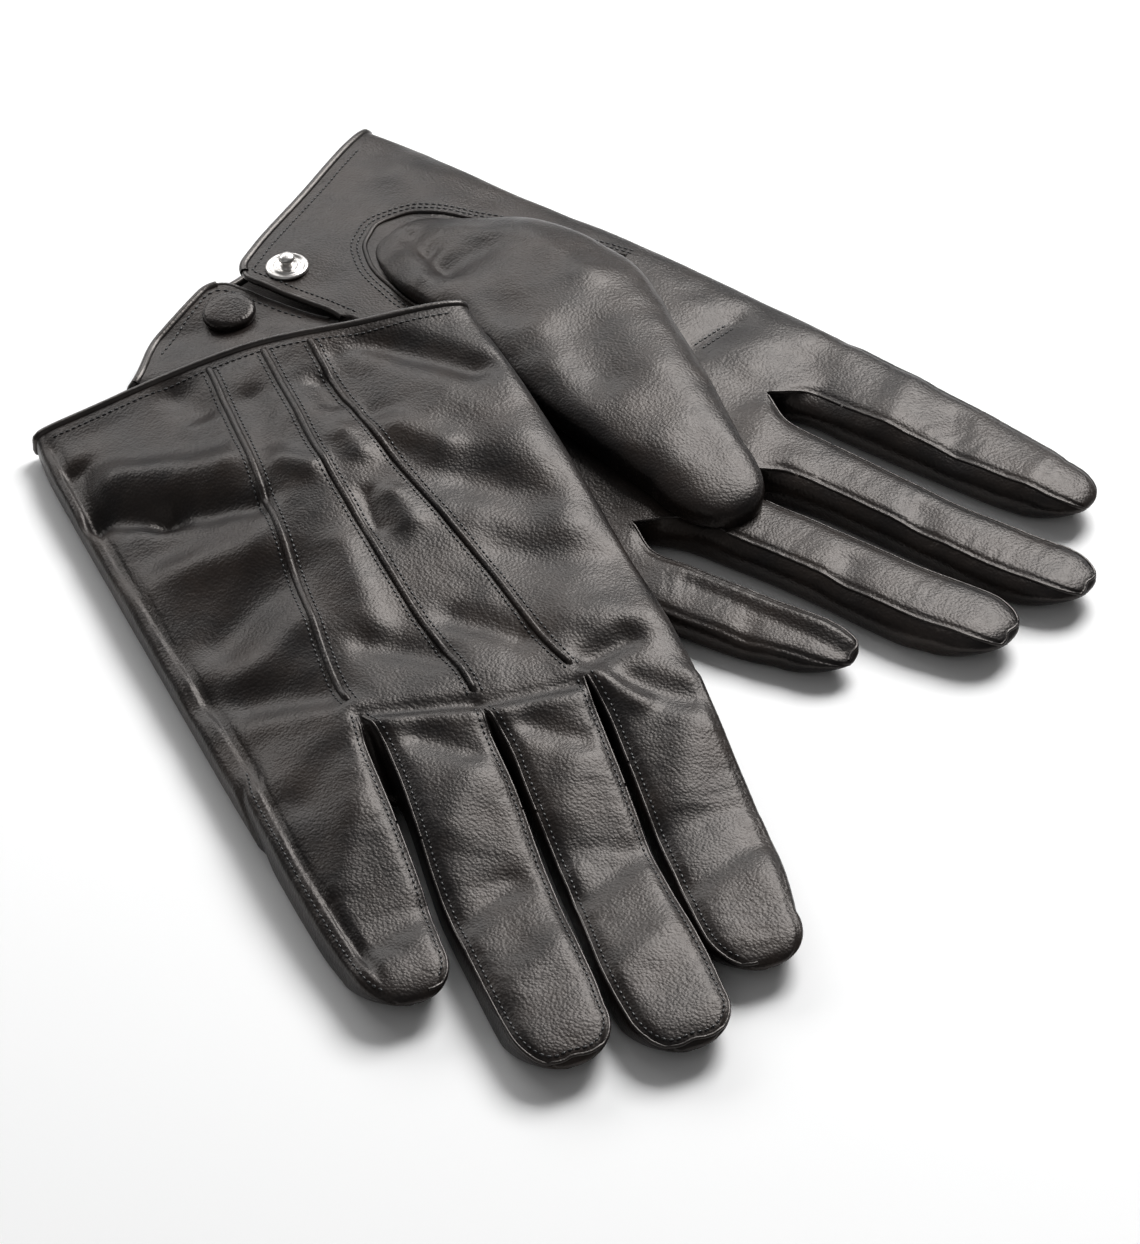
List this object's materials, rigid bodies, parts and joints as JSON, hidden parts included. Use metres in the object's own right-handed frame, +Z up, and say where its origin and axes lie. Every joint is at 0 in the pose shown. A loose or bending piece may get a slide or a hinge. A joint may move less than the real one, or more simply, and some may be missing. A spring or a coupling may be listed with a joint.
{
  "type": "pair of leather dress gloves",
  "caption": "Pair of lined black leather dress gloves with snap-fastened wrists and stitched ribs on the back, one laid across the other.",
  "frame": {"origin": "middle of the pair's outline on the surface it lies on", "axes": "+Z up from the surface, fingers towards -Y, the left glove to +X with its palm up, the right glove to -X with its back up and its cuff on the left one's wrist"},
  "size_m": [0.2424, 0.3132, 0.0286],
  "materials": {
    "leather": "fine-grained black sheep leather with a soft sheen",
    "edge_leather": "black leather turned over the cuff edge and the snap cap, polished by handling",
    "lining": "fine black knit",
    "nickel": "satin nickel plate",
    "dark_metal": "dark plated steel"
  },
  "bodies": {
    "left_hand": {"left_cuff_edge": "edge_leather", "left_hand": "leather", "left_lining": "lining", "left_point_index_side": "leather", "left_point_little_side": "leather", "left_point_middle_side": "leather", "left_snap_stud": "nickel", "left_snap_stud_back": "dark_metal", "left_thumb_base": "leather"},
    "right_hand": {"right_cuff_edge": "edge_leather", "right_hand": "leather", "right_lining": "lining", "right_point_index_side": "leather", "right_point_little_side": "leather", "right_point_middle_side": "leather", "right_snap_stud": "nickel", "right_snap_stud_back": "dark_metal", "right_thumb_base": "leather"},
    "left_index": {"left_index_finger": "leather", "left_index_fourchette_middle_side": "leather"},
    "left_middle": {"left_middle_finger": "leather", "left_middle_fourchette_index_side": "leather", "left_middle_fourchette_ring_side": "leather"},
    "left_ring": {"left_ring_finger": "leather", "left_ring_fourchette_little_side": "leather", "left_ring_fourchette_middle_side": "leather"},
    "left_little": {"left_little_finger": "leather", "left_little_fourchette_ring_side": "leather"},
    "left_thumb": {"left_thumb": "leather"},
    "left_flap": {"left_button_flap": "leather", "left_button_flap_edge": "edge_leather", "left_snap_cap": "edge_leather", "left_snap_socket": "nickel"},
    "right_index": {"right_index_finger": "leather", "right_index_fourchette_middle_side": "leather"},
    "right_middle": {"right_middle_finger": "leather", "right_middle_fourchette_index_side": "leather", "right_middle_fourchette_ring_side": "leather"},
    "right_ring": {"right_ring_finger": "leather", "right_ring_fourchette_little_side": "leather", "right_ring_fourchette_middle_side": "leather"},
    "right_little": {"right_little_finger": "leather", "right_little_fourchette_ring_side": "leather"},
    "right_thumb": {"right_thumb": "leather"},
    "right_flap": {"right_button_flap": "leather", "right_button_flap_edge": "edge_leather", "right_snap_cap": "edge_leather", "right_snap_socket": "nickel"}
  },
  "joints": [
    {"name": "right_glove_lift", "type": "slide", "parent": "left_hand", "child": "right_hand", "axis": [0, 0, 1], "range_m": [0, 0.12]},
    {"name": "left_index_bend", "type": "hinge", "parent": "left_hand", "child": "left_index", "pos_m": [0.09854, -0.02068, 0.012], "axis": [-0.9627, -0.2706, 0], "range_deg": [0, 60]},
    {"name": "left_middle_bend", "type": "hinge", "parent": "left_hand", "child": "left_middle", "pos_m": [0.06791, -0.03552, 0.012], "axis": [-0.9627, -0.2706, 0], "range_deg": [0, 60]},
    {"name": "left_ring_bend", "type": "hinge", "parent": "left_hand", "child": "left_ring", "pos_m": [0.04041, -0.04117, 0.012], "axis": [-0.9627, -0.2706, 0], "range_deg": [0, 60]},
    {"name": "left_little_bend", "type": "hinge", "parent": "left_hand", "child": "left_little", "pos_m": [0.0128, -0.0427, 0.0095], "axis": [-0.9627, -0.2706, 0], "range_deg": [0, 60]},
    {"name": "right_index_bend", "type": "hinge", "parent": "right_hand", "child": "right_index", "pos_m": [-0.02894, -0.09321, 0.01288], "axis": [-0.9632, 0.2689, 0], "range_deg": [0, 60]},
    {"name": "right_middle_bend", "type": "hinge", "parent": "right_hand", "child": "right_middle", "pos_m": [-0.0555, -0.09203, 0.012], "axis": [-0.9632, 0.2689, 0], "range_deg": [0, 60]},
    {"name": "right_ring_bend", "type": "hinge", "parent": "right_hand", "child": "right_ring", "pos_m": [-0.07952, -0.08324, 0.012], "axis": [-0.9632, 0.2689, 0], "range_deg": [0, 60]},
    {"name": "right_little_bend", "type": "hinge", "parent": "right_hand", "child": "right_little", "pos_m": [-0.10276, -0.07053, 0.01286], "axis": [-0.9632, 0.2689, 0], "range_deg": [0, 60]},
    {"name": "left_thumb_lift", "type": "hinge", "parent": "left_hand", "child": "left_thumb", "pos_m": [0.05716, 0.06741, 0.02201], "axis": [-0.9821, 0.1885, 0], "range_deg": [0, 50]},
    {"name": "right_thumb_swing", "type": "hinge", "parent": "right_hand", "child": "right_thumb", "pos_m": [-0.01306, 0.0151, 0.0112], "axis": [0, 0, 1], "range_deg": [0, 10]},
    {"name": "left_flap_open", "type": "hinge", "parent": "left_hand", "child": "left_flap", "pos_m": [-0.00241, 0.10193, 0.01074], "axis": [0.8586, -0.5065, 0.0788], "range_deg": [0, 60]},
    {"name": "right_flap_open", "type": "hinge", "parent": "right_hand", "child": "right_flap", "pos_m": [-0.05118, 0.07886, 0.00476], "axis": [-0.3747, 0.912, -0.1668], "range_deg": [0, 10]}
  ]
}
